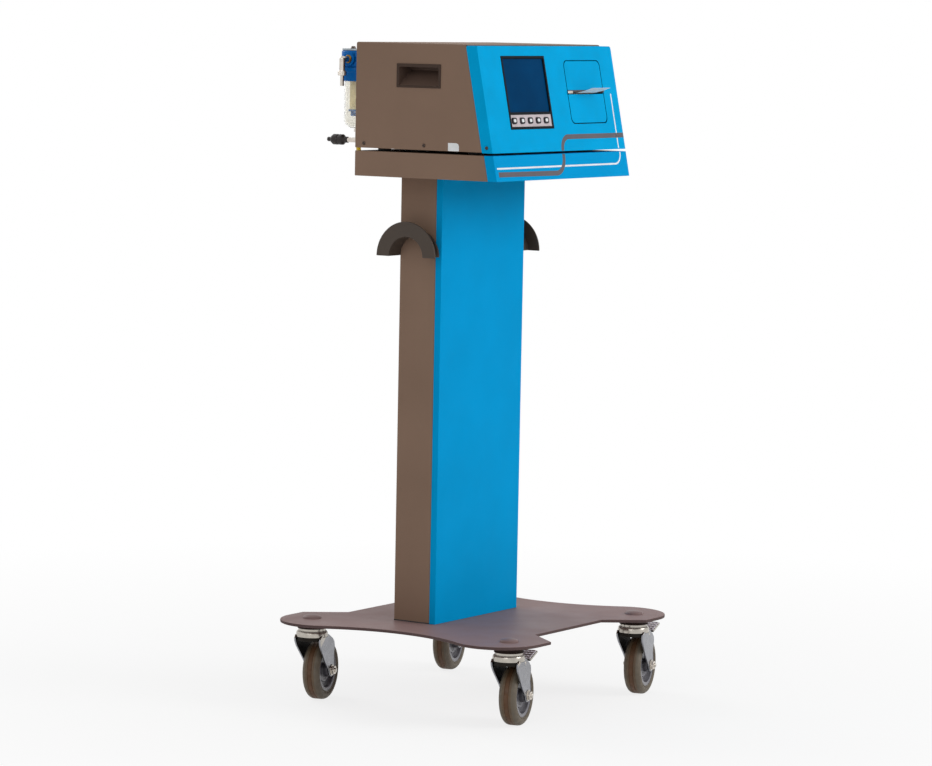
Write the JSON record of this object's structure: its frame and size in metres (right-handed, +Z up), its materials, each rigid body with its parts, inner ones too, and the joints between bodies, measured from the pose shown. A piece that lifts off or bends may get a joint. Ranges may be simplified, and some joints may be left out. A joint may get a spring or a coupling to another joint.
{
  "type": "exhaust gas analyser on a castor stand",
  "caption": "Benchtop exhaust gas analyser with a sloping screen and printer front, a clear sample filter cup at the rear and hose hooks, on a column stand with castors.",
  "frame": {"origin": "on the floor, under the middle of the castor pattern", "axes": "+X to the right seen from the screen side, +Y to the rear panel, +Z up"},
  "size_m": [0.549, 0.494, 1.1],
  "materials": {
    "plate_paint": "satin powder coat, brown purple",
    "taupe_paint": "fine textured powder coat, taupe",
    "blue_paint": "satin powder coat, bright blue",
    "blue_abs": "moulded, satin, bright blue",
    "zinc_steel": "zinc plated pressed steel",
    "cap_plastic": "moulded, dark brown",
    "hub_plastic": "moulded, grey",
    "tyre_rubber": "brown black rubber",
    "hook_plastic": "moulded, dark taupe",
    "foot_rubber": "black rubber",
    "screw_steel": "dark plated",
    "handle_plastic": "moulded, dark brown",
    "bezel_plastic": "moulded, near black",
    "lcd_panel": "glossy navy display",
    "key_strip": "satin grey overlay",
    "key_cap": "satin dark grey",
    "printer_plastic": "moulded, near black",
    "tear_steel": "bright",
    "thermal_paper": "smooth white paper",
    "filter_blue": "moulded, gloss, deep blue",
    "clear_bowl": "clear moulded",
    "filter_felt": "cream felt",
    "nickel_fittings": "nickel plated",
    "coupling_black": "moulded, black brown",
    "hose_yellow": "smooth yellow tube",
    "capsule_plastic": "translucent pink grey",
    "bracket_steel": "brushed",
    "inlet_black": "moulded, black",
    "board_green": "green laminate",
    "cast_grey": "plain machined"
  },
  "bodies": {
    "stand_and_case": {"base_plate": "plate_paint", "castor_caps": "cap_plastic", "swivel_studs": "zinc_steel", "column_channel": "taupe_paint", "column_panel": "blue_paint", "hose_hook_left": "hook_plastic", "hose_hook_right": "hook_plastic", "tray_shell": "taupe_paint", "tray_floor": "taupe_paint", "tray_front": "blue_paint", "case_cover": "taupe_paint", "case_floor": "taupe_paint", "rear_panel": "taupe_paint", "front_fascia": "blue_abs", "case_feet": "foot_rubber", "cover_screws": "screw_steel", "handle_cup_left": "handle_plastic", "handle_cup_right": "handle_plastic", "screen_bezel": "bezel_plastic", "lcd_screen": "lcd_panel", "key_plate": "key_strip", "printer_bucket": "printer_plastic", "tear_bar": "tear_steel", "paper_strip": "thermal_paper", "filter_bracket": "bracket_steel", "filter_head": "filter_blue", "filter_bowl": "clear_bowl", "filter_element": "filter_felt", "element_retainer": "filter_blue", "hose_fittings": "nickel_fittings", "inlet_coupling": "coupling_black", "sample_hose": "hose_yellow", "drain_hose": "hose_yellow", "inline_filter": "capsule_plastic", "power_inlet": "inlet_black", "main_board": "board_green", "sample_pump": "cast_grey", "gas_bench": "cast_grey"},
    "castor_fl": {"castor_fork_fl": "zinc_steel"},
    "wheel_fl": {"wheel_hub_fl": "hub_plastic", "tyre_fl": "tyre_rubber"},
    "castor_fr": {"castor_fork_fr": "zinc_steel"},
    "wheel_fr": {"wheel_hub_fr": "hub_plastic", "tyre_fr": "tyre_rubber"},
    "castor_rl": {"castor_fork_rl": "zinc_steel"},
    "wheel_rl": {"wheel_hub_rl": "hub_plastic", "tyre_rl": "tyre_rubber"},
    "castor_rr": {"castor_fork_rr": "zinc_steel"},
    "wheel_rr": {"wheel_hub_rr": "hub_plastic", "tyre_rr": "tyre_rubber"},
    "brake_fl": {"brake_pedal_fl": "zinc_steel"},
    "brake_fr": {"brake_pedal_fr": "zinc_steel"},
    "key_body_1": {"key_1": "key_cap"},
    "key_body_2": {"key_2": "key_cap"},
    "key_body_3": {"key_3": "key_cap"},
    "key_body_4": {"key_4": "key_cap"},
    "key_body_5": {"key_5": "key_cap"},
    "door": {"printer_door": "blue_abs"},
    "roll": {"paper_roll": "thermal_paper"},
    "lock_ring": {"filter_ring": "filter_blue"}
  },
  "joints": [
    {"name": "castor_swivel_fl", "type": "hinge", "parent": "stand_and_case", "child": "castor_fl", "pos_m": [-0.195, -0.195, 0.117], "axis": [0, 0, 1], "continuous": true},
    {"name": "wheel_roll_fl", "type": "hinge", "parent": "castor_fl", "child": "wheel_fl", "pos_m": [-0.15606, -0.18587, 0.05], "axis": [-0.2283, 0.9736, 0], "continuous": true},
    {"name": "castor_swivel_fr", "type": "hinge", "parent": "stand_and_case", "child": "castor_fr", "pos_m": [0.195, -0.195, 0.117], "axis": [0, 0, 1], "continuous": true},
    {"name": "wheel_roll_fr", "type": "hinge", "parent": "castor_fr", "child": "wheel_fr", "pos_m": [0.23394, -0.18587, 0.05], "axis": [-0.2283, 0.9736, 0], "continuous": true},
    {"name": "castor_swivel_rl", "type": "hinge", "parent": "stand_and_case", "child": "castor_rl", "pos_m": [-0.195, 0.195, 0.117], "axis": [0, 0, 1], "continuous": true},
    {"name": "wheel_roll_rl", "type": "hinge", "parent": "castor_rl", "child": "wheel_rl", "pos_m": [-0.15606, 0.20413, 0.05], "axis": [-0.2283, 0.9736, 0], "continuous": true},
    {"name": "castor_swivel_rr", "type": "hinge", "parent": "stand_and_case", "child": "castor_rr", "pos_m": [0.195, 0.195, 0.117], "axis": [0, 0, 1], "continuous": true},
    {"name": "wheel_roll_rr", "type": "hinge", "parent": "castor_rr", "child": "wheel_rr", "pos_m": [0.23394, 0.20413, 0.05], "axis": [-0.2283, 0.9736, 0], "continuous": true},
    {"name": "brake_press_fl", "type": "hinge", "parent": "castor_fl", "child": "brake_fl", "pos_m": [-0.17942, -0.19135, 0.1071], "axis": [-0.2283, 0.9736, 0], "range_deg": [0, 10]},
    {"name": "brake_press_fr", "type": "hinge", "parent": "castor_fr", "child": "brake_fr", "pos_m": [0.21058, -0.19135, 0.1071], "axis": [-0.2283, 0.9736, 0], "range_deg": [0, 10]},
    {"name": "key_press_1", "type": "slide", "parent": "stand_and_case", "child": "key_body_1", "axis": [0, 0.9803, -0.1977], "range_m": [0, 0.0012], "stiffness_N_per_m": 800},
    {"name": "key_press_2", "type": "slide", "parent": "stand_and_case", "child": "key_body_2", "axis": [0, 0.9803, -0.1977], "range_m": [0, 0.0012], "stiffness_N_per_m": 800},
    {"name": "key_press_3", "type": "slide", "parent": "stand_and_case", "child": "key_body_3", "axis": [0, 0.9803, -0.1977], "range_m": [0, 0.0012], "stiffness_N_per_m": 800},
    {"name": "key_press_4", "type": "slide", "parent": "stand_and_case", "child": "key_body_4", "axis": [0, 0.9803, -0.1977], "range_m": [0, 0.0012], "stiffness_N_per_m": 800},
    {"name": "key_press_5", "type": "slide", "parent": "stand_and_case", "child": "key_body_5", "axis": [0, 0.9803, -0.1977], "range_m": [0, 0.0012], "stiffness_N_per_m": 800},
    {"name": "printer_door_open", "type": "hinge", "parent": "stand_and_case", "child": "door", "pos_m": [0.1045, -0.13943, 0.98164], "axis": [1, 0, 0], "range_deg": [0, 100]},
    {"name": "paper_roll_turn", "type": "hinge", "parent": "stand_and_case", "child": "roll", "pos_m": [0.1045, -0.10262, 1.00482], "axis": [1, 0, 0], "continuous": true},
    {"name": "lock_ring_turn", "type": "hinge", "parent": "stand_and_case", "child": "lock_ring", "pos_m": [-0.14, 0.155, 1.046], "axis": [0, 0, 1], "range_deg": [0, 60]}
  ]
}
